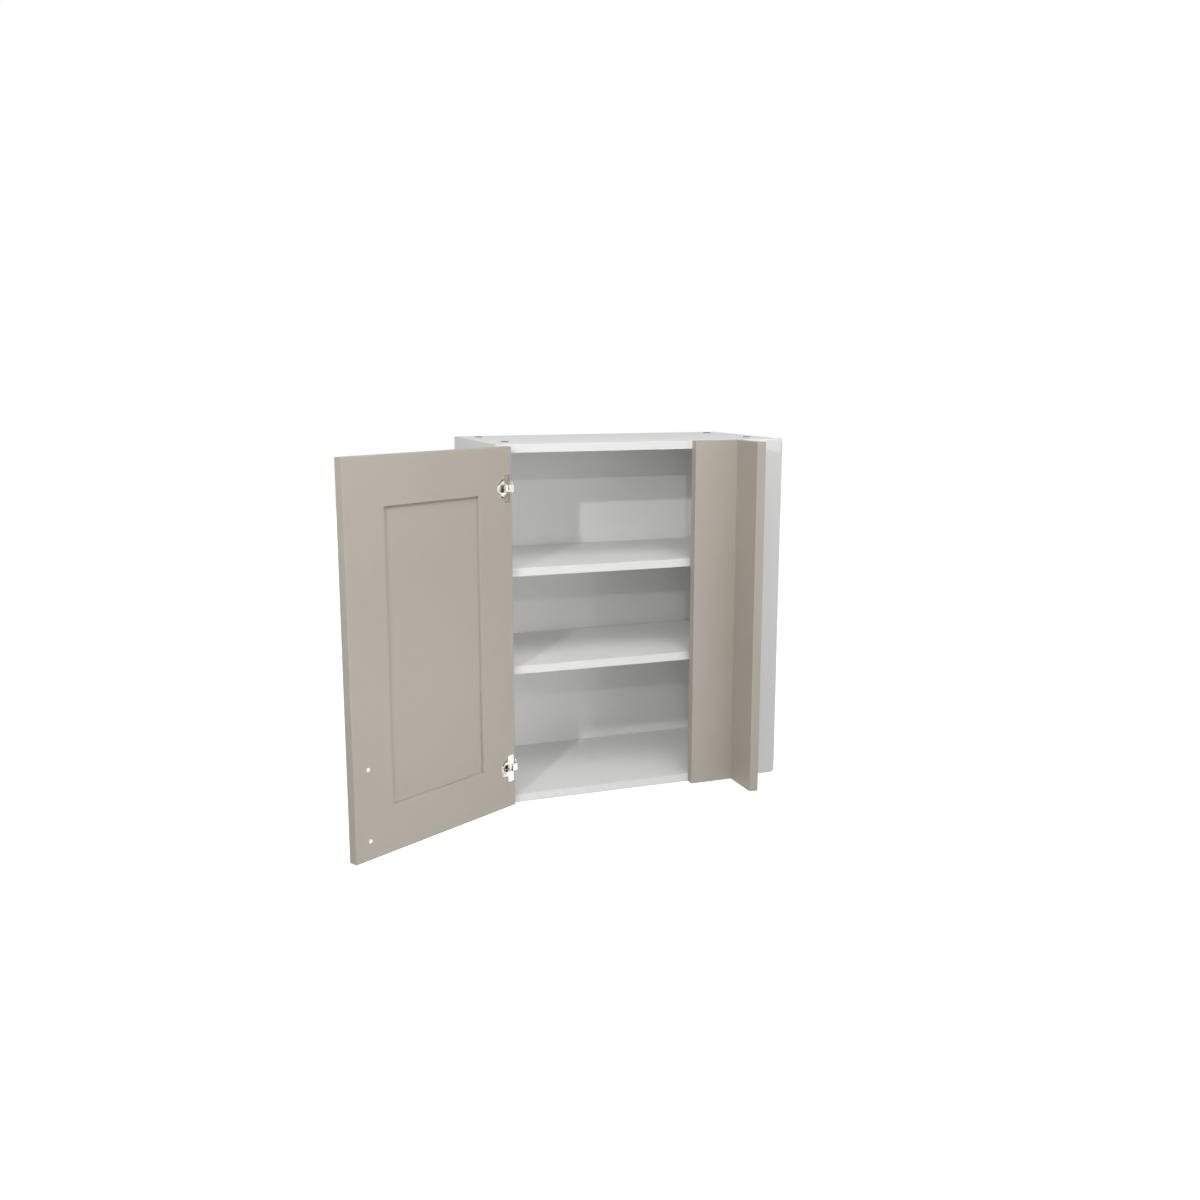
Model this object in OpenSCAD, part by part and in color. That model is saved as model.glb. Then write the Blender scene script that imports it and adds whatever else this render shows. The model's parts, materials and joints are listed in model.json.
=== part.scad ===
// Corner wall cabinet: a white carcass with two shelves, one framed door hung at the left
// with a bow handle on its outer face, an L-shaped corner post and a white blank panel.
// Origin on the wall, at mid width and at the foot of the carcass; X along the wall,
// Y towards the wall, Z up. The door stands open.

/* [Carcass] */
// Width of the carcass
width = 600; // [560:1:700]
// Height of the carcass
height = 700; // [600:1:900]
// Depth of the carcass from the wall to its front edges
depth = 320; // [290:1:380]
// Thickness of the carcass boards and shelves
board = 16; // [15:0.5:19]
// Thickness of the back sheet
back_t = 3; // [2.5:0.1:4]
// Room between the back sheet and the wall
back_void = 9; // [7:0.5:16]
// Depth of the grooves that hold the back sheet
groove = 7; // [5:0.5:8]

/* [Shelves] */
// Height of the lower shelf's underside
shelf_low = 256; // [200:1:280]
// Step from one shelf's underside to the next one's
shelf_step = 192; // [160:32:224]
// How far the shelves stand back from the front edges
shelf_setback = 10; // [6:1:20]
// Room between a shelf and each side panel
shelf_play = 1; // [0.5:0.1:2]
// Pitch of the peg holes
hole_pitch = 32; // [25:1:32]
// Holes above and below each peg
spare_holes = 1; // [0:1:2]
// Distance of the front row of peg holes from the front edge
row_front = 37; // [30:1:50]
// Distance from the front row of peg holes to the rear row
row_span = 224; // [180:1:230]
// Diameter of the shelf pegs
peg_d = 5; // [4:0.5:6]

/* [Joints of the carcass] */
// Distance of the front cam locks from the front edge
cam_front = 80; // [70:1:100]
// Distance from the front cam locks to the rear ones
cam_span = 192; // [170:1:200]
// Distance of a cam's centre from the end of its board
cam_end = 24; // [20:1:34]
// Diameter of the cam locks
cam_d = 15; // [12:0.5:15]
// Depth of the cam locks
cam_h = 12.5; // [11:0.5:13]
// Diameter of the wooden dowels
dowel_d = 8; // [6:1:8]
// Length of the wooden dowels
dowel_len = 30; // [24:1:34]
// Distance of each dowel from its cam
dowel_gap = 32; // [20:1:40]

/* [Door] */
// Width of the bay that the door closes
bay = 400; // [340:1:420]
// Gap round the closed door
reveal = 3; // [2:0.5:4]
// Thickness of the door frame
door_t = 18; // [18:0.5:22]
// Gap between the closed door and the carcass
door_gap = 2; // [2:0.1:3]
// Width of the door's stiles and rails
frame_w = 86; // [75:1:100]
// Thickness of the door's centre panel
panel_t = 6; // [5:0.5:8]
// How far the centre panel enters the stiles and rails
tongue = 8; // [6:0.5:10]
// Angle at which the door stands open, the widest that its hinges allow
open_angle = 150; // [0:5:150]

/* [Handle] */
// Distance between the handle's two screws
handle_pitch = 128; // [96:32:160]
// Diameter of the holes for the handle's screws
handle_d = 5; // [4:0.5:6]
// Distance of the handle's screws from the door's free edge
handle_edge = 32; // [28:1:45]
// Height of the lower handle screw above the door's foot
handle_low = 35; // [30:1:60]
// How far the handle stands out from the door
handle_reach = 29; // [25:1:35]
// Width of the handle's bar
handle_w = 10; // [8:1:14]
// Thickness of the handle's bar
handle_t = 7; // [6.5:0.5:9]
// Outer radius of the handle's bends
handle_bend = 14; // [10:1:20]
// Length of the handle's screws beyond the door
handle_thread = 7; // [6:0.5:9]

/* [Hinges] */
// Distance of each hinge from the end of the door
hinge_end = 77; // [70:1:110]
// Diameter of the cup bore in the door
cup_d = 35; // [35:1:36]
// Depth of the cup bore
cup_depth = 14.2; // [14.2:0.1:15]
// Distance of the cup's centre from the door's edge
cup_edge = 20.5; // [20.5:0.1:22]
// Diameter of the hinge pins
pin_d = 3; // [2.5:0.1:3]
// Clearance of a pin in the link that turns on it
pin_play = 0.05; // [0.02:0.01:0.1]
// Width of the swinging link
link_w = 13.8; // [12:0.1:14]
// Thickness of the link where it arches over the door's edge
link_t = 1.2; // [1:0.1:1.2]
// Distance of the cup's screws from the hinge's centre line
cup_screw = 20; // [19:0.5:21]
// Distance of the plate's screws from the hinge's centre line
plate_screw = 16; // [14:0.5:20]
// Length of the hinge arm behind the front edge
arm_len = 70; // [60:1:80]

/* [Corner post and blank] */
// Width of the post's face panel
post_face = 90; // [70:1:100]
// Thickness of the post's two panels
post_t = 18; // [16:0.5:20]
// How far the return panel stands out from the carcass
post_reach = 103; // [80:1:130]
// Thickness of the blank panel
blank_t = 16; // [15:0.5:18]
// Distance of the blank panel's free edge from the carcass side
blank_inset = 13; // [8:0.5:15]
// Thickness of the joining plates and brackets
steel_t = 2; // [1.5:0.1:2.5]
// Length of a bracket's legs
bracket_leg = 28; // [24:1:32]
// Width of the plates and brackets
bracket_w = 20; // [16:1:24]
// Distance of the outer joining plates from the ends of the post
plate_end = 84; // [60:1:110]
// Height of the lower bracket on the side panel
side_bracket_low = 189; // [150:1:220]
// Distance between the brackets on the side panel
side_bracket_step = 196; // [150:1:220]

/* [Wall hangers] */
// Height of a hanger's case
hanger_h = 56; // [50:1:64]
// Depth of a hanger's case
hanger_d = 44; // [38:1:50]
// Thickness of a hanger's case
hanger_t = 14; // [12:0.5:16]

/* [Hidden] */

fine = 48;
small = 24;
over = 1;
white = [0.94, 0.94, 0.93];
taupe = [0.69, 0.66, 0.61];
steel = [0.78, 0.78, 0.77];
hardboard = [0.85, 0.85, 0.84];
beech = [0.80, 0.68, 0.50];

back_y = depth - back_void - back_t;
back_play = 0.1;
groove_w = back_t + 2 * back_play;
clear_w = width - 2 * board;
cam_rows = [cam_front, cam_front + cam_span];
dowel_rows = [cam_front - dowel_gap, cam_front + cam_span - dowel_gap];
dowel_in_side = 10;
bolt_in_side = 11;
bolt_d = 5;
bolt_hole_d = 8;
bolt_neck_d = 4;
bolt_head_play = 1.4;
bolt_head_l = 2.5;
cam_sink = 0.2;
cam_slot_w = 1.4;
cam_slot_l = 8.3;
cam_slot_deep = 2.5;
cam_mouth_play = 0.6;
cam_mouth = 3.5;
hole_play = 0.1;
end_play = 0.5;
shelf_back_play = 2;
peg_drop = 3;
peg_in = 9.5;
peg_out = 7;
peg_spoon_r = 3.5;
peg_rows = [row_front, row_front + row_span];
shelves = [shelf_low, shelf_low + shelf_step];

// The door shut: its edges and the plane of its inner face
door_x0 = reveal;
door_w = bay - 2 * reveal;
door_z0 = reveal;
door_h = height - 2 * reveal;
door_y = -door_gap;
slot_play = 0.1;
slot_spare = 0.5;
slot_deep = tongue + slot_spare;
slot_y = door_y - door_t / 2 - panel_t / 2 - slot_play;
slot_t = panel_t + 2 * slot_play;

// The handle's screws, with the door shut
handle_x = door_x0 + door_w - handle_edge;
handle_levels = [door_z0 + handle_low, door_z0 + handle_low + handle_pitch];
handle_screw_play = 1;
handle_screw_d = handle_d - handle_screw_play;
handle_bore_spare = 2;
handle_head_d = 8;
handle_rim_h = 1.5;
handle_dome_d = 5;
handle_head_h = 2.6;

// Hinge pivots with the door shut, measured from the door's edge and inner face
cup_pin_in = 7.5;
cup_pin_deep = 6;
arm_pin_in = 13;
arm_pin_out = 1;
cup_pin = [door_x0 + cup_pin_in, door_y - cup_pin_deep];
arm_pin = [board + arm_pin_in, -arm_pin_out];
hinge_levels = [door_z0 + door_h - hinge_end, door_z0 + hinge_end];
// The link turns back by a sixth of the door's own turn
link_share = 1 / 6;
link_turn = open_angle * link_share;
function turned(v, a) = [v[0] * cos(a) - v[1] * sin(a), v[0] * sin(a) + v[1] * cos(a)];
cup_pin_open = arm_pin + turned(cup_pin - arm_pin, link_turn);

cup_x = door_x0 + cup_edge;
cup_floor = 0.5;
cup_fit = 0.1;
collar_step = 2.8;
collar_r = cup_d / 2 - collar_step;
collar_drop = 3;
flange_t = 1;
flange_h = 52;
flange_w = 16;
flange_edge = 5;
flange_x = door_x0 + flange_edge + flange_w / 2;
flange_round = 2;
pocket_play = 0.4;
pocket_in = 15;
arm_room_deep = 3.4;
arm_room_l = 15;
arm_room_in = 10;
arm_room_x = arm_pin[0] - arm_room_in;
cup_pin_seat = 2.5;
cup_head_d = 6.5;
cup_head_top = 5;
cup_head_h = 0.8;
cup_screw_len = 12;
link_play = 0.3;
link_arch = 6;
link_foot = 1.9;
link_heel = 11.5;
arm_w = 19.2;
cheek_t = (arm_w - link_w) / 2 - link_play;
arm_web = 2.2;
link_eye_wall = 1.3;
arm_eye_wall = 1.9;
eye_r = pin_d / 2 + link_eye_wall;
arm_eye_r = pin_d / 2 + arm_eye_wall;
web_x = arm_pin[0] + arm_eye_r - arm_web;
arm_top = web_x + arm_web;
heel_extra = 0.4;
plate_t = 3;
end_gap = 0.1;
arm_low = board + plate_t + end_gap;
plate_y = row_front;
plate_w = 14;
plate_round = 6;
boss_end = 6;
boss_h = 10;
boss_top = board + boss_h;
arm_screw_in = 5;
boss_w = link_w;
arm_root = 12;
arm_screw_in_y = 14;
arm_screw_y = [arm_root + arm_screw_in_y, arm_len - arm_screw_in_y];
fork_play = 1.5;
fork_deep = arm_eye_r + fork_play;
arm_slot = 6;
arm_wall = 3;
arm_head_d = 8;
arm_head_h = 1.6;
cross_l = 4.5;
cross_w = 0.9;
cross_deep = 0.9;
screw_d = 3.5;
screw_head_d = 7;
screw_head_h = 2;
screw_len = 14;

// Places of the steelwork behind the post and the blank
return_x = bay + post_face;
blank_x = return_x + post_t;
blank_w = width - blank_inset - blank_x;
plate_margin = 22;
plate_x0 = bay + plate_margin;
plate_x1 = blank_x + blank_w - plate_margin;
plate_levels = [plate_end, height / 2, height - plate_end];
plate_screw_end = 8;
plate_screw_in = 14;
blank_screw_in = 12;
plate_screws = [plate_x0 + plate_screw_end, return_x - plate_screw_in, return_x + post_t / 2,
    blank_x + blank_screw_in, plate_x1 - plate_screw_end];
bracket_hole_end = 11;
bracket_hole = bracket_leg - bracket_hole_end;
bracket_xs = [bay + post_face / 2, (blank_x + width - board) / 2];
side_bracket_levels = [side_bracket_low, side_bracket_low + side_bracket_step];

hanger_down = 6;
hanger_z = height - board - hanger_down - hanger_h;
hanger_y = back_y - hanger_d;
hanger_mid = hanger_z + hanger_h / 2;
hanger_wall = 2;
stub_d = 10;
stub_len = 11;
stub_step = 16;
hanger_screw_step = 12;
hanger_screw_l = 10;
hanger_head_d = 7.5;
hanger_head_h = 1.8;
hanger_slot_l = 4;
hanger_slot_w = 0.8;
hanger_slot_deep = 1;
hook_w = 8;
hook_t = 2.5;
hook_down = 16;
hook_z = hanger_z + hanger_h - hook_down;
hook_drop = 12;
hook_in = 10;
hook_wall_gap = 3;
hook_slot_play = 4;

// Everything below is drawn from the carcass's front left foot and set on the wall here
module on_wall() {
    translate([-width / 2, -depth, 0]) children();
}

// Draws its children at the left side, or mirrored at the right
module at_side(left) {
    if (left) children();
    else translate([width, 0, 0]) mirror([1, 0, 0]) children();
}

// Draws its children at the foot, or mirrored at the top
module at_level(low) {
    if (low) children();
    else translate([0, 0, height]) mirror([0, 0, 1]) children();
}

// A round bar along X, from x over a length
module rod_x(x, y, z, d, len, facets = small) {
    translate([x, y, z]) rotate([0, 90, 0]) cylinder(d = d, h = len, $fn = facets);
}

// A screw with its head's underside on the origin, its shank pointing down
module screw() {
    cylinder(d = screw_head_d, h = screw_head_h, $fn = small);
    translate([0, 0, -screw_len]) cylinder(d = screw_d, h = screw_len, $fn = small);
}

// A cross recess for a screwdriver, from its floor upwards
module cross_recess(l, w) {
    for (a = [0, 90]) rotate(a) translate([-l / 2, -w / 2, 0]) cube([l, w, 2 * over]);
}

// The bore that a screw's shank fills
module screw_bore() {
    translate([0, 0, -screw_len]) cylinder(d = screw_d, h = screw_len + over, $fn = small);
}

// A flat plate with rounded corners, centred on the origin
module rounded(w, h, r) {
    square([w - 2 * r, h], center = true);
    square([w, h - 2 * r], center = true);
    for (x = [-1, 1], y = [-1, 1])
        translate([x * (w / 2 - r), y * (h / 2 - r)]) circle(r = r, $fn = small);
}

// A flat bar between two points, with round ends
module bar(p, q, w) {
    d = q - p;
    translate(p) rotate(atan2(d[1], d[0])) translate([0, -w / 2]) square([norm(d), w]);
    translate(p) circle(d = w, $fn = small);
    translate(q) circle(d = w, $fn = small);
}

// Carcass boards
module side_bores(left) {
    translate([board - groove, back_y, -over]) cube([groove + over, groove_w, height + 2 * over]);
    for (low = [true, false]) at_level(low) {
        for (y = dowel_rows)
            rod_x(board - dowel_in_side, y, board / 2, dowel_d, dowel_in_side + over);
        for (y = cam_rows)
            rod_x(board - bolt_in_side, y, board / 2, bolt_d + hole_play, bolt_in_side + over);
    }
    for (z = shelves, y = peg_rows, i = [-spare_holes:spare_holes])
        rod_x(board - peg_in, y, z - peg_drop + i * hole_pitch, peg_d, peg_in + over);
    for (dz = [-stub_step, stub_step])
        rod_x(board - stub_len, hanger_y + hanger_d / 2, hanger_mid + dz,
            stub_d + hole_play, stub_len + over);
    if (left)
        for (z = hinge_levels, dz = [-plate_screw, plate_screw])
            rod_x(board + plate_t - screw_len, plate_y, z + dz, screw_d, screw_len);
}

module side_panel(left) {
    color(white) on_wall() difference() {
        at_side(left) difference() {
            cube([board, depth, height]);
            side_bores(left);
        }
        if (!left) side_bracket_screws() screw_bore();
    }
}

module level_bores() {
    translate([0, back_y, board - groove]) cube([width, groove_w, groove + over]);
    for (left = [true, false]) at_side(left) {
        for (y = dowel_rows)
            rod_x(board - over, y, board / 2, dowel_d, dowel_len - dowel_in_side + end_play + over);
        for (y = cam_rows) {
            rod_x(board - over, y, board / 2, bolt_hole_d, cam_end + over);
            translate([board + cam_end, y, -over])
                cylinder(d = cam_d, h = cam_h + over, $fn = fine);
        }
    }
}

module level_panel(low) {
    color(white) on_wall() at_level(low) difference() {
        translate([board, 0, 0]) cube([clear_w, depth, board]);
        level_bores();
        bracket_places() leg_screw() screw_bore();
    }
}

module back_sheet() {
    edge = board - groove + end_play;
    color(hardboard) on_wall() difference() {
        translate([edge, back_y + back_play, edge])
            cube([width - 2 * edge, back_t, height - 2 * edge]);
        for (left = [true, false]) at_side(left)
            translate([-over, back_y - over, hook_z - hook_drop - hook_slot_play])
                cube([board + hanger_t + over, back_t + 3 * over, height]);
    }
}

module shelf(z) {
    color(white) on_wall() translate([board + shelf_play, shelf_setback, z])
        cube([clear_w - 2 * shelf_play, back_y - shelf_back_play - shelf_setback, board]);
}

// A peg: a pin in the side panel and a flat-topped spoon under the shelf
module peg() {
    rod_x(-peg_in, 0, -peg_drop, peg_d, peg_in);
    intersection() {
        rod_x(0, 0, -peg_spoon_r, 2 * peg_spoon_r, peg_out);
        translate([0, -peg_drop - over, -4 * peg_drop]) cube([peg_out, 4 * peg_drop, 4 * peg_drop]);
    }
}

module pegs(z) {
    color(steel) on_wall() for (left = [true, false]) at_side(left)
        for (y = peg_rows) translate([board, y, z]) peg();
}

module dowels() {
    color(beech) on_wall() for (left = [true, false], low = [true, false], y = dowel_rows)
        at_side(left) at_level(low)
            rod_x(board - dowel_in_side, y, board / 2, dowel_d, dowel_len);
}

// A cam lock seen from its slotted face, which lies on the board's outer side
module cam() {
    difference() {
        translate([0, 0, cam_sink]) cylinder(d = cam_d, h = cam_h - cam_sink, $fn = fine);
        for (a = [0, 90]) rotate(a)
            translate([-cam_slot_l / 2, -cam_slot_w / 2, 0])
                cube([cam_slot_l, cam_slot_w, cam_slot_deep]);
        rod_x(-cam_d, 0, board / 2, bolt_hole_d - cam_mouth_play, cam_d + cam_mouth);
    }
}

module cams(low) {
    color(steel) on_wall() at_level(low) for (left = [true, false], y = cam_rows)
        at_side(left) translate([board + cam_end, y, 0]) cam();
}

// A cam bolt: a thread in the side panel, a collar, a neck and a head in the cam
module cam_bolts(low) {
    collar = cam_end - cam_d / 2 - end_play;
    color(steel) on_wall() at_level(low) for (left = [true, false], y = cam_rows)
        at_side(left) {
            rod_x(board - bolt_in_side, y, board / 2, bolt_d, bolt_in_side);
            rod_x(board, y, board / 2, bolt_hole_d, collar);
            rod_x(board + collar, y, board / 2, bolt_neck_d, cam_end - collar);
            rod_x(board + cam_end, y, board / 2, bolt_hole_d - bolt_head_play, bolt_head_l);
        }
}

// Wall hangers in the upper rear corners
module hanger_case(left) {
    wall = hanger_wall;
    color(white) on_wall() at_side(left) difference() {
        union() {
            translate([board, hanger_y, hanger_z]) cube([hanger_t, hanger_d, hanger_h]);
            for (dz = [-stub_step, stub_step])
                rod_x(board - stub_len, hanger_y + hanger_d / 2, hanger_mid + dz,
                    stub_d, stub_len + wall);
        }
        translate([board + wall, hanger_y + wall, hanger_z + wall])
            cube([hanger_t - 2 * wall, hanger_d, hanger_h - 2 * wall]);
        hanger_screw_places() translate([0, 0, -wall - over])
            cylinder(d = bolt_d, h = wall + 2 * over, $fn = small);
    }
}

module hanger_screw_places() {
    for (dz = [-hanger_screw_step, hanger_screw_step])
        translate([board + hanger_t / 2, hanger_y, hanger_mid + dz])
            rotate([90, 0, 0]) children();
}

// The hook reaches through the back sheet and drops behind the wall rail
module hanger_hooks() {
    y0 = hanger_y + hook_in;
    y1 = depth - hook_wall_gap;
    tail = hanger_h / 2 - hanger_wall;
    color(steel) on_wall() for (left = [true, false]) at_side(left)
        translate([board + (hanger_t - hook_w) / 2, 0, hook_z]) {
            translate([0, y0, 0]) cube([hook_w, y1 - y0, hook_t]);
            translate([0, y1 - hook_t, -hook_drop]) cube([hook_w, hook_t, hook_drop]);
            translate([0, y0, -tail]) cube([hook_w, hook_t, tail]);
        }
}

module hanger_screws() {
    color(steel) on_wall() for (left = [true, false]) at_side(left)
        hanger_screw_places() difference() {
            union() {
                cylinder(d = hanger_head_d, h = hanger_head_h, $fn = small);
                translate([0, 0, -hanger_screw_l])
                    cylinder(d = bolt_d, h = hanger_screw_l, $fn = small);
            }
            translate([0, 0, hanger_head_h - hanger_slot_deep])
                cross_recess(hanger_slot_l, hanger_slot_w);
        }
}

// Corner post and blank panel
module plate_screw_places() {
    for (z = plate_levels, x = plate_screws)
        translate([x, steel_t, z]) rotate([-90, 0, 0]) children();
}

// Brackets on the foot board, with a leg on the board and a leg behind the post
module bracket_places() {
    for (x = bracket_xs) translate([x, 0, board]) children();
}

module leg_screw() {
    translate([0, bracket_hole, steel_t]) children();
}

module back_screw() {
    translate([0, steel_t, bracket_hole]) rotate([-90, 0, 0]) children();
}

module bracket() {
    difference() {
        union() {
            translate([-bracket_w / 2, 0, 0]) cube([bracket_w, bracket_leg, steel_t]);
            translate([-bracket_w / 2, 0, 0]) cube([bracket_w, steel_t, bracket_leg]);
        }
        leg_screw() screw_bore();
        back_screw() screw_bore();
    }
}

// Brackets on the right side panel, behind the blank
module side_bracket_places() {
    for (z = side_bracket_levels)
        translate([width - board, 0, z]) rotate([0, -90, 0]) children();
}

module side_bracket_screws() {
    side_bracket_places() leg_screw() children();
}

module post_screw_bores() {
    plate_screw_places() screw_bore();
    for (low = [true, false]) at_level(low) bracket_places() back_screw() screw_bore();
}

module post_face_panel() {
    color(taupe) on_wall() difference() {
        translate([bay, -post_t, 0]) cube([post_face, post_t, height]);
        post_screw_bores();
    }
}

module post_return_panel() {
    color(taupe) on_wall() difference() {
        translate([return_x, -post_reach, 0]) cube([post_t, post_reach, height]);
        post_screw_bores();
    }
}

module blank_panel() {
    color(white) on_wall() difference() {
        translate([blank_x, -blank_t, reveal]) cube([blank_w, blank_t, height - 2 * reveal]);
        post_screw_bores();
        side_bracket_places() back_screw() screw_bore();
    }
}

module joining_plates() {
    color(steel) on_wall() difference() {
        for (z = plate_levels) translate([plate_x0, 0, z - bracket_w / 2])
            cube([plate_x1 - plate_x0, steel_t, bracket_w]);
        plate_screw_places() screw_bore();
    }
}

module corner_brackets() {
    color(steel) on_wall() {
        for (low = [true, false]) at_level(low) bracket_places() bracket();
        side_bracket_places() bracket();
    }
}

module plate_and_bracket_screws() {
    color(steel) on_wall() {
        plate_screw_places() screw();
        for (low = [true, false]) at_level(low) bracket_places() {
            leg_screw() screw();
            back_screw() screw();
        }
        side_bracket_screws() screw();
        side_bracket_places() back_screw() screw();
    }
}

// Hinges: drawn with the door shut, about the hinge's centre line
module across(w) {
    translate([0, 0, -w / 2]) linear_extrude(height = w) children();
}

module swing_door() {
    translate(cup_pin_open) rotate([0, 0, -open_angle]) translate(-cup_pin) children();
}

module swing_link() {
    translate(arm_pin) rotate([0, 0, link_turn]) translate(-arm_pin) children();
}

module hinge_plate(z) {
    color(steel) on_wall() translate([0, 0, z]) difference() {
        union() {
            translate([board, plate_y, 0]) rotate([0, 90, 0]) linear_extrude(height = plate_t)
                rounded(2 * plate_screw + plate_w, plate_w, plate_round);
            translate([board, arm_root + boss_end, -boss_w / 2])
                cube([boss_h, arm_len - arm_root - 2 * boss_end, boss_w]);
        }
        for (dz = [-plate_screw, plate_screw])
            rod_x(board - over, plate_y, dz, screw_d, plate_t + 2 * over);
        for (y = arm_screw_y) rod_x(boss_top - arm_screw_in, y, 0, bolt_d, arm_screw_in + over);
    }
}

module hinge_plate_screws() {
    color(steel) on_wall() for (z = hinge_levels, dz = [-plate_screw, plate_screw])
        translate([board + plate_t, plate_y, z + dz]) rotate([0, 90, 0]) screw();
}

// The arm: two cheeks and a top web over the plate's boss, reaching out to its pin
module hinge_arm(z) {
    color(steel) on_wall() translate([0, 0, z]) difference() {
        across(arm_w) {
            translate([arm_low, arm_root]) square([arm_top - arm_low, arm_len - arm_root]);
            translate(arm_pin) circle(r = arm_eye_r, $fn = small);
            translate([arm_pin[0] - arm_eye_r, arm_pin[1]])
                square([2 * arm_eye_r, arm_root - arm_pin[1]]);
        }
        translate([arm_low - over, arm_root + arm_wall, -arm_w / 2 + cheek_t])
            cube([web_x - arm_low + over, arm_len, arm_w - 2 * cheek_t]);
        translate([arm_low - over, arm_pin[1] - fork_deep, -arm_w / 2 + cheek_t])
            cube([arm_top - arm_low + 2 * over, 2 * fork_deep, arm_w - 2 * cheek_t]);
        across(arm_w + 2 * over) translate(arm_pin) circle(d = pin_d, $fn = small);
        for (y = arm_screw_y) rod_x(web_x - over, y, 0, bolt_d, arm_web + 2 * over);
        rod_x(web_x - over, arm_screw_y[1] + arm_slot, 0, bolt_d, arm_web + 2 * over);
        translate([web_x - over, arm_screw_y[1], -bolt_d / 2])
            cube([arm_web + 2 * over, arm_slot, bolt_d]);
    }
}

// The fixing and adjusting screws of the arms
module hinge_arm_screws() {
    color(steel) on_wall() for (z = hinge_levels, y = arm_screw_y)
        translate([0, 0, z]) difference() {
            union() {
                rod_x(boss_top - arm_screw_in, y, 0, bolt_d, arm_top - boss_top + arm_screw_in);
                rod_x(arm_top, y, 0, arm_head_d, arm_head_h);
            }
            translate([arm_top + arm_head_h - cross_deep, y, 0]) rotate([0, 90, 0])
                cross_recess(cross_l, cross_w);
        }
}

module hinge_arm_pins() {
    color(steel) on_wall() for (z = hinge_levels) translate([0, 0, z])
        across(arm_w) translate(arm_pin) circle(d = pin_d, $fn = small);
}

// The link dips into the cup when the door is shut and arches over its edge when it is open
module hinge_link(z) {
    arch = link_arch + link_t / 2;
    foot = cup_pin + [link_foot, -arch];
    heel = cup_pin + [link_heel, -arch];
    color(steel) on_wall() translate([0, 0, z]) swing_link() difference() {
        across(link_w) {
            translate(cup_pin) circle(r = eye_r, $fn = small);
            bar(cup_pin, foot, link_t);
            bar(foot, heel, link_t);
            bar(heel, arm_pin, link_t + heel_extra);
            translate(arm_pin) circle(r = eye_r, $fn = small);
        }
        for (p = [cup_pin, arm_pin])
            across(link_w + 2 * over) translate(p) circle(r = pin_d / 2 + pin_play, $fn = small);
    }
}

// The cup: a stepped body in the bore, a collar, a flange and the pocket for the link
module cup_body() {
    body_r = cup_d / 2 - cup_fit;
    pocket_w = link_w + 2 * link_play;
    pocket_x0 = cup_pin[0] - eye_r - pocket_play;
    pocket_x1 = cup_x + pocket_in;
    floor_y = door_y - cup_depth + cup_fit;
    difference() {
        union() {
            translate([cup_x, floor_y, 0]) rotate([-90, 0, 0])
                cylinder(r = body_r, h = cup_depth - cup_fit - collar_drop, $fn = fine);
            translate([cup_x, floor_y, 0]) rotate([-90, 0, 0])
                cylinder(r = collar_r, h = cup_depth - cup_fit + flange_t, $fn = fine);
            translate([flange_x, door_y, 0]) rotate([-90, 0, 0])
                linear_extrude(height = flange_t) rounded(flange_w, flange_h, flange_round);
        }
        translate([pocket_x0, floor_y + cup_floor, -pocket_w / 2])
            cube([pocket_x1 - pocket_x0, cup_depth + flange_t + over, pocket_w]);
        translate([0, door_y - collar_drop, -pocket_w / 2])
            cube([pocket_x1, collar_drop + flange_t + over, pocket_w]);
        translate([arm_room_x, door_y - arm_room_deep, -arm_w / 2 - link_play])
            cube([arm_room_l, 2 * arm_room_deep, arm_w + 2 * link_play]);
        across(cup_d) translate(cup_pin) circle(d = pin_d, $fn = small);
        cup_screw_places() screw_bore();
    }
}

module cup_screw_places() {
    for (dz = [-cup_screw, cup_screw])
        translate([flange_x, door_y + flange_t, dz])
            rotate([-90, 0, 0]) children();
}

module hinge_cup(z) {
    color(steel) on_wall() swing_door() translate([0, 0, z]) cup_body();
}

module hinge_cup_pins() {
    len = link_w + 2 * (link_play + cup_pin_seat);
    color(steel) on_wall() swing_door() for (z = hinge_levels) translate([0, 0, z])
        across(len) translate(cup_pin) circle(d = pin_d, $fn = small);
}

module hinge_cup_screws() {
    color(steel) on_wall() swing_door() for (z = hinge_levels) translate([0, 0, z])
        cup_screw_places() {
            translate([0, 0, -cup_screw_len])
                cylinder(d = screw_d, h = cup_screw_len, $fn = small);
            cylinder(d1 = cup_head_d, d2 = cup_head_top, h = cup_head_h, $fn = small);
        }
}

// Door: two stiles, two rails and a centre panel held in their slots
module door_part() {
    color(taupe) on_wall() swing_door() children();
}

module door_slots() {
    x0 = door_x0 + frame_w - slot_deep;
    z0 = door_z0 + frame_w - slot_deep;
    translate([x0, slot_y, z0])
        cube([door_w - 2 * (frame_w - slot_deep), slot_t, door_h - 2 * (frame_w - slot_deep)]);
}

module stile(x) {
    translate([x, door_y - door_t, door_z0]) cube([frame_w, door_t, door_h]);
}

module stile_slots() {
    for (x = [door_x0 + frame_w - slot_deep, door_x0 + door_w - frame_w - over])
        translate([x, slot_y, door_z0 - over]) cube([slot_deep + over, slot_t, door_h + 2 * over]);
}

module door_hinge_stile() {
    door_part() difference() {
        stile(door_x0);
        stile_slots();
        for (z = hinge_levels) translate([0, 0, z]) {
            translate([cup_x, door_y + over, 0]) rotate([90, 0, 0])
                cylinder(d = cup_d, h = cup_depth + over, $fn = fine);
            cup_screw_places() translate([0, 0, -cup_screw_len])
                cylinder(d = screw_d, h = cup_screw_len + over, $fn = small);
        }
    }
}

module door_handle_stile() {
    door_part() difference() {
        stile(door_x0 + door_w - frame_w);
        stile_slots();
        handle_screw_places() translate([0, 0, -door_t - over])
            cylinder(d = handle_d, h = door_t + 2 * over, $fn = small);
    }
}

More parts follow.
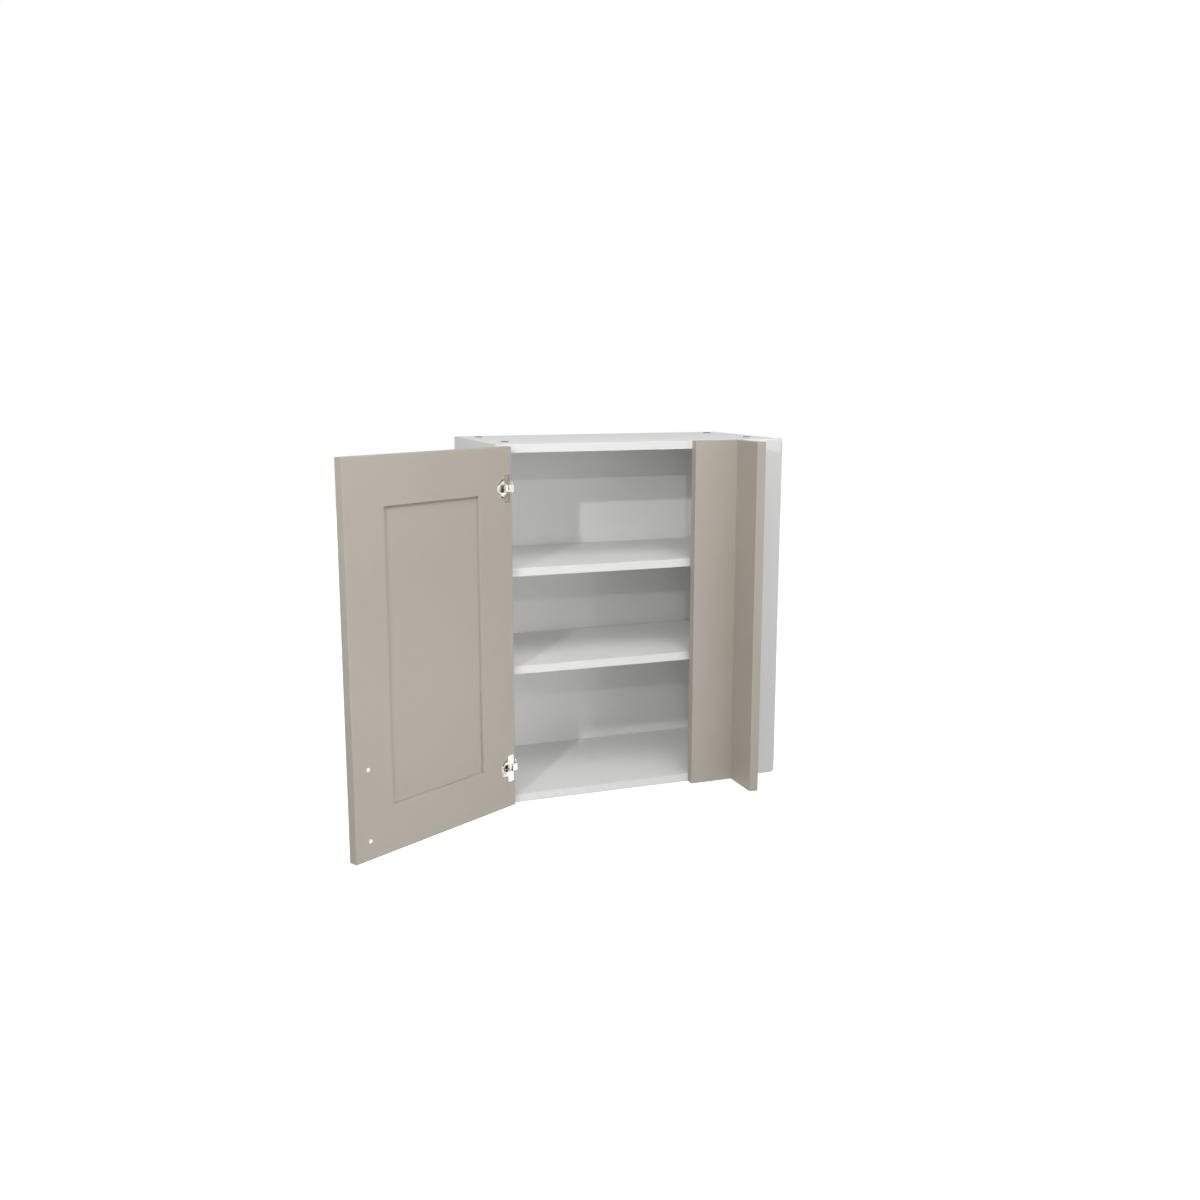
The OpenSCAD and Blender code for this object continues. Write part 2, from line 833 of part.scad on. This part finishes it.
// Where the handle's screws enter the door's inner face, pointing out of it
module handle_screw_places() {
    for (z = handle_levels) translate([handle_x, door_y, z]) rotate([-90, 0, 0]) children();
}

module rail(z) {
    door_part() difference() {
        union() {
            translate([door_x0 + frame_w, door_y - door_t, z])
                cube([door_w - 2 * frame_w, door_t, frame_w]);
            translate([door_x0 + frame_w - tongue, slot_y + slot_play, z])
                cube([door_w - 2 * (frame_w - tongue), panel_t, frame_w]);
        }
        door_slots();
    }
}

module door_centre_panel() {
    edge = frame_w - tongue;
    door_part() translate([door_x0 + edge, slot_y + slot_play, door_z0 + edge])
        cube([door_w - 2 * edge, panel_t, door_h - 2 * edge]);
}

// A flat strip of which two corners are rounded
module bow(l, h, r) {
    square([l, h - r]);
    translate([r, 0]) square([l - 2 * r, h]);
    for (x = [r, l - r]) translate([x, h - r]) circle(r = r, $fn = fine);
}

// The handle: one bar with two bends, its ends standing on the door's outer face
module door_handle() {
    len = handle_pitch + handle_t;
    color(steel) on_wall() swing_door() difference() {
        translate([handle_x - handle_w / 2, door_y - door_t, handle_levels[0] - handle_t / 2])
            rotate([0, -90, 180]) linear_extrude(height = handle_w) difference() {
                bow(len, handle_reach, handle_bend);
                translate([handle_t, -over])
                    bow(len - 2 * handle_t, handle_reach - handle_t + over, handle_bend - handle_t);
            }
        handle_screw_places() translate([0, 0, -door_t - handle_thread - handle_bore_spare])
            cylinder(d = handle_screw_d, h = handle_thread + handle_bore_spare + over, $fn = small);
    }
}

module handle_screws() {
    color(steel) on_wall() swing_door() handle_screw_places() difference() {
        union() {
            translate([0, 0, -door_t - handle_thread])
                cylinder(d = handle_screw_d, h = door_t + handle_thread, $fn = small);
            cylinder(d = handle_head_d, h = handle_rim_h, $fn = fine);
            translate([0, 0, handle_rim_h]) cylinder(d1 = handle_head_d, d2 = handle_dome_d,
                h = handle_head_h - handle_rim_h, $fn = fine);
        }
        translate([0, 0, handle_head_h - cross_deep]) cross_recess(cross_l, cross_w);
    }
}

side_panel(true);  // left_side_panel
side_panel(false);  // right_side_panel
level_panel(false);  // top_panel
level_panel(true);  // bottom_panel
back_sheet();
shelf(shelves[1]);  // upper_shelf
shelf(shelves[0]);  // lower_shelf
pegs(shelves[1]);  // upper_shelf_pegs
pegs(shelves[0]);  // lower_shelf_pegs
dowels();
cams(false);  // top_cam_locks
cams(true);  // bottom_cam_locks
cam_bolts(false);  // top_cam_bolts
cam_bolts(true);  // bottom_cam_bolts
hanger_case(true);  // left_hanger_case
hanger_case(false);  // right_hanger_case
hanger_hooks();
hanger_screws();
post_face_panel();
post_return_panel();
blank_panel();
joining_plates();
corner_brackets();
plate_and_bracket_screws();
hinge_plate(hinge_levels[0]);  // upper_hinge_plate
hinge_plate(hinge_levels[1]);  // lower_hinge_plate
hinge_plate_screws();
hinge_arm(hinge_levels[0]);  // upper_hinge_arm
hinge_arm(hinge_levels[1]);  // lower_hinge_arm
hinge_arm_screws();
hinge_arm_pins();
hinge_link(hinge_levels[0]);  // upper_hinge_link
hinge_link(hinge_levels[1]);  // lower_hinge_link
door_hinge_stile();
door_handle_stile();
rail(door_z0 + door_h - frame_w);  // door_top_rail
rail(door_z0);  // door_bottom_rail
door_centre_panel();
door_handle();
handle_screws();
hinge_cup(hinge_levels[0]);  // upper_hinge_cup
hinge_cup(hinge_levels[1]);  // lower_hinge_cup
hinge_cup_pins();
hinge_cup_screws();
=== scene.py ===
# Corner wall cabinet: white melamine carcass, taupe painted door and corner post,
# nickel-plated hinges. Metres, in the part's own frame: wall at y 0, foot at z 0.
import json
import math

import bmesh
import bpy
from mathutils import Matrix, Vector


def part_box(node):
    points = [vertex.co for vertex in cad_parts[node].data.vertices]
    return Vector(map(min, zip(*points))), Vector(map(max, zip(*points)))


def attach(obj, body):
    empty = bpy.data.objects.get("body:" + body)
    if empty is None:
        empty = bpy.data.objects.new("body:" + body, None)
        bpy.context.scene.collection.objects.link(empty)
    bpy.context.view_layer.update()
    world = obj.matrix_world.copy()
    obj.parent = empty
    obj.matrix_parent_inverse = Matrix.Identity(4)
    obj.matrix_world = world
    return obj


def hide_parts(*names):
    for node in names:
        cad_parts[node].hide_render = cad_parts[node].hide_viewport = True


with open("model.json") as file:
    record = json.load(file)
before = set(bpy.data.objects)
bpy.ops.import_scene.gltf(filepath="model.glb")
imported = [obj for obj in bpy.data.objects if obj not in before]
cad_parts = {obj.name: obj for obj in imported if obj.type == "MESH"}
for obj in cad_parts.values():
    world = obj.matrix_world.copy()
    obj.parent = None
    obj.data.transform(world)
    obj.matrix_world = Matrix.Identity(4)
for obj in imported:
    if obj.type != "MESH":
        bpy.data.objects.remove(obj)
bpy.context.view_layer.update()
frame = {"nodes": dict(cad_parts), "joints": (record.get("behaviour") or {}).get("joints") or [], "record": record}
nodes = frame["nodes"]
print("frame loaded:", len(nodes), "pieces")


def hexColour(code):
    # an sRGB colour as written, made linear for the shader
    parts = [int(code[i : i + 2], 16) / 255 for i in (1, 3, 5)]
    return [v / 12.92 if v <= 0.04045 else ((v + 0.055) / 1.055) ** 2.4 for v in parts] + [1]


def addNode(tree, kind, sockets=None, **settings):
    node = tree.nodes.new(kind)
    for name, value in settings.items():
        setattr(node, name, value)
    for name, value in (sockets or {}).items():
        if isinstance(value, bpy.types.NodeSocket):
            tree.links.new(value, node.inputs[name])
        else:
            node.inputs[name].default_value = value
    return node


def newMaterial(name):
    mat = bpy.data.materials.new(name)
    mat.use_nodes = True
    mat.node_tree.nodes.clear()
    return mat, mat.node_tree


def meshObject(name, mesh):
    data = bpy.data.meshes.new(name)
    mesh.to_mesh(data)
    mesh.free()
    piece = bpy.data.objects.new(name, data)
    bpy.context.collection.objects.link(piece)
    return piece


camera = {
    "place": (-0.91335, -2.51747, 0.82857),
    "yaw": 20.456,  # degrees towards +X
    "pitch": 10.506,  # degrees down
    "lens": 36.566,  # millimetres
    "sensor": 36,  # millimetres
}
camData = bpy.data.cameras.new("camera")
camData.lens = camera["lens"]
camData.sensor_width = camera["sensor"]
cam = bpy.data.objects.new("camera", camData)
cam.location = camera["place"]
cam.rotation_euler = (math.radians(90 - camera["pitch"]), 0, -math.radians(camera["yaw"]))
bpy.context.collection.objects.link(cam)
bpy.context.scene.camera = cam
print("camera placed")


# In the finishes "clouds" is a count per metre, "grain" and "depth" are metres, and "rough" varies
# by half of "spread" each way.
cloudEdges = (0.35, 0.65)  # noise values at which the shade ends and the light tone starts
glossEdges = {"From Min": 0.3, "From Max": 0.7}  # noise values between which the gloss varies


def cloudTone(tree, place, look):
    # broad soft clouds of the shade in the light tone
    cloud = addNode(
        tree,
        "ShaderNodeTexNoise",
        {"Vector": place, "Scale": look["clouds"], "Detail": look["cloudDetail"]},
    )
    tone = addNode(tree, "ShaderNodeValToRGB", {"Fac": cloud.outputs["Fac"]})
    for stop, edge, colour in zip(tone.color_ramp.elements, cloudEdges, ("shade", "light")):
        stop.position = edge
        stop.color = hexColour(look[colour])
    return cloud.outputs["Fac"], tone.outputs["Color"]


def fineRelief(tree, place, look):
    # the grain of the skin, felt more than seen
    pattern = addNode(
        tree,
        "ShaderNodeTexNoise",
        {"Vector": place, "Scale": 1 / look["grain"], "Detail": look["grainDetail"]},
    )
    relief = addNode(
        tree,
        "ShaderNodeBump",
        {"Height": pattern.outputs["Fac"], "Strength": look["bump"], "Distance": look["depth"]},
    )
    return relief.outputs["Normal"]


# Melamine-faced chipboard: a pressed white film, satin, with a very fine pearl grain. It barely
# mirrors, so its specular level is low.
melamine = {
    "light": "#f0f0ef",
    "shade": "#eeeeed",
    "frontShade": "#e2e2e1",  # painted shade: faces that look to the front, the edging strips and the blank, are drawn greyer than the film to damp the lamps' light on them
    "front": 0.95,  # how squarely such a face looks to the front
    "clouds": 7,
    "cloudDetail": 3,
    "rough": 0.51,
    "spread": 0.08,
    "specular": 0.15,
    "ior": 1.5,
    "grain": 0.0009,
    "grainDetail": 2,
    "bump": 0.25,
    "depth": 0.00002,
}


def whiteMelamine():
    look = melamine
    mat, tree = newMaterial("white melamine")
    coords = addNode(tree, "ShaderNodeTexCoord")
    cloud, filmTone = cloudTone(tree, coords.outputs["Object"], look)
    # painted shade: faces that look squarely to the front are drawn in a greyer tone than the film
    facing = addNode(tree, "ShaderNodeSeparateXYZ", {"Vector": coords.outputs["Normal"]})
    front = addNode(
        tree,
        "ShaderNodeMath",
        {0: facing.outputs["Y"], 1: -look["front"]},
        operation="LESS_THAN",
    )
    tone = addNode(
        tree,
        "ShaderNodeMixRGB",
        {"Fac": front.outputs[0], "Color1": filmTone, "Color2": hexColour(look["frontShade"])},
    )
    gloss = addNode(
        tree,
        "ShaderNodeMapRange",
        {
            "Value": cloud,
            **glossEdges,
            "To Min": look["rough"] - look["spread"] / 2,
            "To Max": look["rough"] + look["spread"] / 2,
        },
    )
    skin = addNode(
        tree,
        "ShaderNodeBsdfPrincipled",
        {
            "Base Color": tone.outputs["Color"],
            "Roughness": gloss.outputs["Result"],
            "Normal": fineRelief(tree, coords.outputs["Object"], look),
            "IOR": look["ior"],
            "Specular IOR Level": look["specular"],
        },
    )
    addNode(tree, "ShaderNodeOutputMaterial", {"Surface": skin.outputs["BSDF"]})
    return mat


# Painted fibreboard: sprayed matt paint with a trace of orange peel
paint = {
    "light": "#aea79d",
    "shade": "#aba49a",
    "clouds": 5,
    "cloudDetail": 4,
    "rough": 0.5,
    "ior": 1.5,
    "grain": 0.0022,
    "grainDetail": 1,
    "bump": 0.3,
    "depth": 0.00004,
}


def taupePaint():
    look = paint
    mat, tree = newMaterial("taupe sprayed paint")
    place = addNode(tree, "ShaderNodeTexCoord").outputs["Object"]
    skin = addNode(
        tree,
        "ShaderNodeBsdfPrincipled",
        {
            "Base Color": cloudTone(tree, place, look)[1],
            "Roughness": look["rough"],
            "Normal": fineRelief(tree, place, look),
            "IOR": look["ior"],
        },
    )
    addNode(tree, "ShaderNodeOutputMaterial", {"Surface": skin.outputs["BSDF"]})
    return mat


# Lacquered hardboard: a thin white lacquer, evenly white, with the faint relief of the roller
hardboard = {
    "light": "#f0f0ef",
    "rough": 0.5,
    "ior": 1.5,
    "grain": 0.003,
    "grainDetail": 2,
    "bump": 0.3,
    "depth": 0.00005,
}

# Moulded ABS of the hanger cases: white, with a spark-eroded grain, coarser than real so it shows
mouldedAbs = {
    "light": "#ececea",
    "rough": 0.4,
    "ior": 1.54,
    "grain": 0.0006,
    "grainDetail": 1,
    "bump": 0.4,
    "depth": 0.00003,
}


def plainWhite(name, look):
    mat, tree = newMaterial(name)
    place = addNode(tree, "ShaderNodeTexCoord").outputs["Object"]
    skin = addNode(
        tree,
        "ShaderNodeBsdfPrincipled",
        {
            "Base Color": hexColour(look["light"]),
            "Roughness": look["rough"],
            "Normal": fineRelief(tree, place, look),
            "IOR": look["ior"],
        },
    )
    addNode(tree, "ShaderNodeOutputMaterial", {"Surface": skin.outputs["BSDF"]})
    return mat


# Plated and cast metals: barrel-polished nickel mirrors with a warm tint, satin nickel blurs what
# it mirrors, clear zinc plate is dull and bluish; the cams' zinc casting is a matt dark grey, which
# is painted shade for the shadow in their bores
metals = {
    "nickel plate": {"tint": "#ebe8e3", "rough": 0.14, "spread": 0.06, "grain": 0.0015},
    "satin nickel": {"tint": "#d9d6d0", "rough": 0.34, "spread": 0.1, "grain": 0.0008},
    "zinc plate": {"tint": "#d5d7d8", "rough": 0.36, "spread": 0.1, "grain": 0.002},
    # painted shade: the zinc casting's dark tint stands in for the shadow in the cams' bores
    "zinc casting in painted shade": {"tint": "#6a6b6e", "rough": 0.7, "spread": 0.12, "grain": 0.001},
}
scuffDetail = 3


def metalFinish(name):
    look = metals[name]
    mat, tree = newMaterial(name)
    place = addNode(tree, "ShaderNodeTexCoord").outputs["Object"]
    scuff = addNode(
        tree,
        "ShaderNodeTexNoise",
        {"Vector": place, "Scale": 1 / look["grain"], "Detail": scuffDetail},
    )
    gloss = addNode(
        tree,
        "ShaderNodeMapRange",
        {
            "Value": scuff.outputs["Fac"],
            **glossEdges,
            "To Min": look["rough"] - look["spread"] / 2,
            "To Max": look["rough"] + look["spread"] / 2,
        },
    )
    skin = addNode(
        tree,
        "ShaderNodeBsdfPrincipled",
        {
            "Base Color": hexColour(look["tint"]),
            "Metallic": 1,
            "Roughness": gloss.outputs["Result"],
        },
    )
    addNode(tree, "ShaderNodeOutputMaterial", {"Surface": skin.outputs["BSDF"]})
    return mat


# Beech: pale brown, with a fine straight grain that is drawn out in X
beech = {
    "light": "#cfae84",
    "dark": "#b58f63",
    "grain": 0.0012,
    "grainDetail": 3,
    "drawnOut": 0.06,
    "rough": 0.6,
}


def plainBeech():
    look = beech
    mat, tree = newMaterial("plain beech")
    place = addNode(tree, "ShaderNodeTexCoord").outputs["Object"]
    along = addNode(
        tree, "ShaderNodeMapping", {"Vector": place, "Scale": (look["drawnOut"], 1, 1)}
    )
    fibre = addNode(
        tree,
        "ShaderNodeTexNoise",
        {
            "Vector": along.outputs["Vector"],
            "Scale": 1 / look["grain"],
            "Detail": look["grainDetail"],
        },
    )
    tone = addNode(tree, "ShaderNodeValToRGB", {"Fac": fibre.outputs["Fac"]})
    for stop, colour in zip(tone.color_ramp.elements, ("dark", "light")):
        stop.color = hexColour(look[colour])
    skin = addNode(
        tree,
        "ShaderNodeBsdfPrincipled",
        {"Base Color": tone.outputs["Color"], "Roughness": look["rough"]},
    )
    addNode(tree, "ShaderNodeOutputMaterial", {"Surface": skin.outputs["BSDF"]})
    return mat


finishOfSlot = {
    "white_board": whiteMelamine(),
    "white_hardboard": plainWhite("white lacquered hardboard", hardboard),
    "taupe_paint": taupePaint(),
    "beech": plainBeech(),
    "nickel_steel": metalFinish("nickel plate"),
    "satin_nickel": metalFinish("satin nickel"),
    "zinc_steel": metalFinish("zinc plate"),
    "cam_zinc": metalFinish("zinc casting in painted shade"),
    "white_plastic": plainWhite("white moulded ABS", mouldedAbs),
}
slotOfNode = {s["node"]: s["material_slot"] for s in frame["record"]["subparts"]}
for name, piece in nodes.items():
    piece.data.materials.clear()
    piece.data.materials.append(finishOfSlot[slotOfNode[name]])
print("finishes set:", len(finishOfSlot))


# Rounded edges: the boards' edging is scraped, the paint softens the arrises
roundings = {
    "radius": {
        "white_board": 0.0005,
        "white_hardboard": 0.0002,
        "taupe_paint": 0.0009,
        "white_plastic": 0.0008,
        "nickel_steel": 0.00025,
        "zinc_steel": 0.00025,
    },
    "ownRadius": {"blank_panel": 0.0018},  # the thick rounded edging of the blank
    "segments": 2,
    "sharp": 40,  # degrees, from which an edge is rounded
}
weldReach = 0.00001  # points nearer than this are one


def roundEdges(piece, slot):
    radius = roundings["ownRadius"].get(piece.name, roundings["radius"].get(slot))
    if not radius:
        return
    weld = piece.modifiers.new("weld", "WELD")
    weld.merge_threshold = weldReach
    bevel = piece.modifiers.new("edges", "BEVEL")
    bevel.width = radius
    bevel.segments = roundings["segments"]
    bevel.limit_method = "ANGLE"
    bevel.angle_limit = math.radians(roundings["sharp"])
    bevel.harden_normals = False


for name, piece in nodes.items():
    roundEdges(piece, slotOfNode[name])
print("edges rounded")


# The door frame is glued up before it is sprayed, so no joint shows between its stiles and rails:
# one piece for the four, with their bores and the slot that holds the centre panel. Lengths run
# from the foot of the hinge edge, on the door's inner face.
doorFrame = {
    "width": 0.394,
    "height": 0.694,
    "thick": 0.018,
    "bar": 0.086,  # width of a stile or rail
    "slotWide": 0.0062,
    "slotDeep": 0.0085,
    "arris": 0.0009,
    "arrisSegments": 3,
    "cupBores": {
        "across": 0.0205,
        "heights": (0.077, 0.617),
        "radius": 0.0175,
        "depth": 0.0142,
        "segments": 96,
    },
    "handleBores": {
        "across": 0.362,
        "heights": (0.035, 0.163),
        "radius": 0.0025,
        "depth": 0.02,
        "segments": 32,
    },
    "toolOver": 0.001,  # how far the boring tools stand out of the face
    "hingeCorner": (0.0075, -0.006),  # of the shut door's edge, measured from the joint
    "open": 150,  # degrees at rest
}


def joinedFrame(look):
    wide, high, thick = look["width"], look["height"], look["thick"]
    mesh = bmesh.new()
    bmesh.ops.create_cube(mesh, size=1)
    bmesh.ops.scale(mesh, verts=mesh.verts, vec=(wide, thick, high))
    bmesh.ops.translate(mesh, verts=mesh.verts, vec=(wide / 2, -thick / 2, high / 2))
    sides = [f for f in mesh.faces if abs(f.normal.y) > 0.9]  # the two broad faces
    outline = list(mesh.edges)
    bmesh.ops.inset_individual(mesh, faces=sides, thickness=look["bar"], use_even_offset=True)
    rims = [e for f in sides for e in f.edges]
    bmesh.ops.delete(mesh, geom=sides, context="FACES_ONLY")
    lining = bmesh.ops.bridge_loops(mesh, edges=rims)["faces"]
    bmesh.ops.recalc_face_normals(mesh, faces=mesh.faces)

    # the slot, a channel round the middle of the opening's four faces
    lip = (thick - look["slotWide"]) / 2
    bmesh.ops.inset_region(mesh, faces=lining, thickness=lip, use_even_offset=True)
    channel = bmesh.ops.extrude_face_region(mesh, geom=lining)["geom"]
    bottom = [v for v in channel if isinstance(v, bmesh.types.BMVert)]
    bmesh.ops.delete(mesh, geom=lining, context="FACES")
    openWide, openHigh = wide - 2 * look["bar"], high - 2 * look["bar"]
    bmesh.ops.scale(
        mesh,
        verts=bottom,
        vec=(1 + 2 * look["slotDeep"] / openWide, 1, 1 + 2 * look["slotDeep"] / openHigh),
        space=Matrix.Translation((-wide / 2, 0, -high / 2)),
    )
    arrises = [e for e in outline + rims if e.is_valid]
    bmesh.ops.bevel(
        mesh,
        geom=arrises,
        offset=look["arris"],
        segments=look["arrisSegments"],
        profile=0.5,
        affect="EDGES",
        material=-1,
        clamp_overlap=True,
    )
    bmesh.ops.recalc_face_normals(mesh, faces=mesh.faces)
    print("  frame open edges:", sum(not e.is_manifold for e in mesh.edges))
    return meshObject("door_frame", mesh)


def boreTools(look):
    mesh = bmesh.new()
    over = look["toolOver"]
    turn = Matrix.Rotation(math.pi / 2, 4, "X")
    for bore in (look["cupBores"], look["handleBores"]):
        for height in bore["heights"]:
            middle = Matrix.Translation((bore["across"], over / 2 - bore["depth"] / 2, height))
            bmesh.ops.create_cone(
                mesh,
                cap_ends=True,
                segments=bore["segments"],
                radius1=bore["radius"],
                radius2=bore["radius"],
                depth=bore["depth"] + over,
                matrix=middle @ turn,
            )
    return meshObject("bore_tools", mesh)


def cutAway(piece, tools):
    cut = piece.modifiers.new("bores", "BOOLEAN")
    cut.operation = "DIFFERENCE"
    cut.solver = "EXACT"
    cut.object = tools
    graph = bpy.context.evaluated_depsgraph_get()
    done = bpy.data.meshes.new_from_object(piece.evaluated_get(graph))
    piece.modifiers.clear()
    old = piece.data
    piece.data = done
    bpy.data.meshes.remove(old)
    bpy.data.objects.remove(tools)


doorPiece = joinedFrame(doorFrame)
cutAway(doorPiece, boreTools(doorFrame))
joint = next(j for j in frame["joints"] if j["name"] == "door_swing")
pivot = Vector((joint["pos_m"][0], joint["pos_m"][1], 0))
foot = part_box("door_hinge_stile")[0].z
hingeCorner = doorFrame["hingeCorner"]
doorPlace = (  # from the door's own coordinates to the frame
    Matrix.Translation(pivot)
    @ Matrix.Rotation(-math.radians(doorFrame["open"]), 4, "Z")
    @ Matrix.Translation((-hingeCorner[0], -hingeCorner[1], foot))
)
doorPiece.data.transform(doorPlace)
doorPiece.data.materials.append(finishOfSlot["taupe_paint"])
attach(doorPiece, "door")
stiles = ["door_hinge_stile", "door_handle_stile"]
rails = ["door_top_rail", "door_bottom_rail"]
for side, pick in enumerate((min, max)):
    cad = [pick(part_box(n)[side][k] for n in stiles + rails) for k in range(3)]
    new = [pick(v.co[k] for v in doorPiece.data.vertices) for k in range(3)]
    print("  door corner, CAD and piece:", [round(v, 5) for v in cad], [round(v, 5) for v in new])
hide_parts(*stiles, *rails)
print("door frame joined")


def mergedCopy(node):
    # a CAD node's loose triangles as one mesh
    mesh = bmesh.new()
    mesh.from_mesh(nodes[node].data)
    bmesh.ops.remove_doubles(mesh, verts=mesh.verts, dist=weldReach)
    return mesh


# Hinge cups: drawn steel, with pressed wings that slope down towards the door's edge
hingeCup = {
    "top": 0.001,  # the rim above the door's inner face
    "topLayer": 0.0009,  # points above this belong to the top
    "wingMiddle": 0.013,  # from the door's edge, where a wing keeps the rim's height
    "wingEnd": 0.0211,
    "step": 0.0003,  # width of the step between wing and rim
    "slope": 0.08,
    "head": 0.00015,  # the screws' flat heads above the wings
    "cutReach": 0.000001,
}


def pressed(name, node, highest=None):
    mesh = mergedCopy(node)
    bmesh.ops.transform(mesh, verts=mesh.verts, matrix=doorPlace.inverted())
    for x in (hingeCup["wingEnd"], hingeCup["wingEnd"] + hingeCup["step"]):
        bmesh.ops.bisect_plane(
            mesh,
            geom=mesh.verts[:] + mesh.edges[:] + mesh.faces[:],
            dist=hingeCup["cutReach"],
            plane_co=(x, 0, 0),
            plane_no=(1, 0, 0),
        )
    stepMiddle = hingeCup["wingEnd"] + hingeCup["step"] / 2
    for v in mesh.verts:
        if highest:  # the screws' heads are pressed flat
            v.co.y = min(v.co.y, highest)
        if v.co.y > hingeCup["topLayer"] and v.co.x < stepMiddle:
            v.co.y += hingeCup["slope"] * (v.co.x - hingeCup["wingMiddle"])
    bmesh.ops.transform(mesh, verts=mesh.verts, matrix=doorPlace)
    piece = meshObject(name, mesh)
    piece.data.materials.append(finishOfSlot["nickel_steel"])
    roundEdges(piece, "nickel_steel")
    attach(piece, "door")
    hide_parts(node)


pressed("upper_pressed_cup", "upper_hinge_cup")
pressed("lower_pressed_cup", "lower_hinge_cup")
pressed("seated_cup_screws", "hinge_cup_screws", hingeCup["top"] + hingeCup["head"])
print("hinge cups pressed")


# Cams of the top: tightened, their heads stand a little proud and show as four grey marks; their
# dark grey tint is painted shade
camHead = {
    "sink": 0.0002,  # of the CAD heads below the panel's face
    "proud": 0.0012,
    "topLayer": 0.0001,  # points this near the top belong to the head's face
}


def raisedCams(name, node):
    mesh = mergedCopy(node)
    top = max(v.co.z for v in mesh.verts)
    head = [v for v in mesh.verts if v.co.z > top - camHead["topLayer"]]
    bmesh.ops.translate(mesh, verts=head, vec=(0, 0, camHead["sink"] + camHead["proud"]))
    piece = meshObject(name, mesh)
    piece.data.materials.append(finishOfSlot["cam_zinc"])
    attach(piece, "carcass")
    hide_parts(node)


raisedCams("raised_top_cams", "top_cam_locks")
print("cams raised")


# White studio: the floor and the world look white, but light the cabinet only a little
studio = {
    "floor": -1.4,  # a wall cabinet hangs about this far above the floor
    "back": 4,  # of the floor's middle behind the wall
    "reach": 14,
    "rim": 64,  # points of the floor's rim
    "floorWhite": "#e4e4e4",
    "white": (1, 1, 1, 1),
    "ambient": 0.34,
}
floorDisc = bmesh.new()
bmesh.ops.create_circle(
    floorDisc, cap_ends=True, segments=studio["rim"], radius=studio["reach"]
)
bmesh.ops.translate(floorDisc, verts=floorDisc.verts, vec=(0, studio["back"], studio["floor"]))
floor = meshObject("floor", floorDisc)


def seenDirectly(tree):
    # 1 for a ray from the camera, off metal or through glass
    path = addNode(tree, "ShaderNodeLightPath")
    either = addNode(
        tree,
        "ShaderNodeMath",
        {0: path.outputs["Is Camera Ray"], 1: path.outputs["Is Glossy Ray"]},
        operation="MAXIMUM",
    )
    return addNode(
        tree,
        "ShaderNodeMath",
        {0: either.outputs[0], 1: path.outputs["Is Transmission Ray"]},
        operation="MAXIMUM",
    ).outputs[0]


floorMat, tree = newMaterial("white studio floor")
dull = addNode(tree, "ShaderNodeBsdfDiffuse", {"Color": hexColour(studio["floorWhite"])})
glow = addNode(tree, "ShaderNodeEmission", {"Strength": seenDirectly(tree)})
both = addNode(tree, "ShaderNodeAddShader", {0: dull.outputs[0], 1: glow.outputs[0]})
addNode(tree, "ShaderNodeOutputMaterial", {"Surface": both.outputs[0]})
floor.data.materials.append(floorMat)

world = bpy.data.worlds.new("studio")
bpy.context.scene.world = world
world.use_nodes = True
tree = world.node_tree
tree.nodes.clear()
fill, backdrop = [
    addNode(tree, "ShaderNodeBackground", {"Color": studio["white"], "Strength": strength})
    for strength in (studio["ambient"], 1)
]
mix = addNode(
    tree,
    "ShaderNodeMixShader",
    {0: seenDirectly(tree), 1: fill.outputs[0], 2: backdrop.outputs[0]},
)
addNode(tree, "ShaderNodeOutputWorld", {"Surface": mix.outputs[0]})

# Small near lamps draw the sharp shadow steps inside the bay, the wide ones fill. The key is aimed
# high, so that it fades towards the lower bays, and the door has a narrow beam of its own.
bayMiddle = (0, -0.16, 0.35)  # where a lamp without an aim of its own points
lamps = {
    "key": {"place": (-0.87, -2.65, 1.28), "aim": (0.1, -0.02, 4.6), "size": 0.04, "watts": 14},
    "west": {"place": (-1.275, -1.64, 1.25), "size": 0.04, "watts": 9},
    "near": {"place": (0, -1.26, 1.25), "aim": (0.3, -0.16, 0.35), "size": 0.04, "watts": 0.3},
    "side": {"place": (-2.3, -3.1, 1.55), "size": 0.3, "watts": 4},
    "high": {"place": (-0.3, -1.7, 2.3), "size": 1.2, "watts": 15},
    "above": {"place": (0.2, -1.4, 1.6), "size": 0.6, "watts": 1.5},
    "low": {"place": (0.3, -2.2, -0.5), "size": 1, "watts": 2},
    "front": {"place": (-0.9, -3.4, 0.9), "size": 0.5, "watts": 4},
    "left": {"place": (-3.0, -1.6, 1.2), "size": 1.8, "watts": 7},
    "right": {"place": (1.6, -2.6, 1.2), "size": 1.8, "watts": 9},
    "door": {
        "place": (0.6, -2.6, 0.3),
        "aim": (-0.47, -0.42, 0.1),
        "size": 0.5,
        "watts": 0.35,
        "spread": 30,
    },
}
openSpread = 180  # degrees, of a lamp without a beam
for name, look in lamps.items():
    light = bpy.data.lights.new(name, "AREA")
    light.shape = "DISK"
    light.size = look["size"]
    light.energy = look["watts"]
    light.spread = math.radians(look.get("spread", openSpread))
    lamp = bpy.data.objects.new(name, light)
    lamp.location = look["place"]
    aim = Vector(look.get("aim", bayMiddle)) - Vector(look["place"])
    lamp.rotation_euler = aim.to_track_quat("-Z", "Y").to_euler()
    bpy.context.collection.objects.link(lamp)
bpy.context.scene.view_settings.view_transform = "Standard"
print("studio lit")
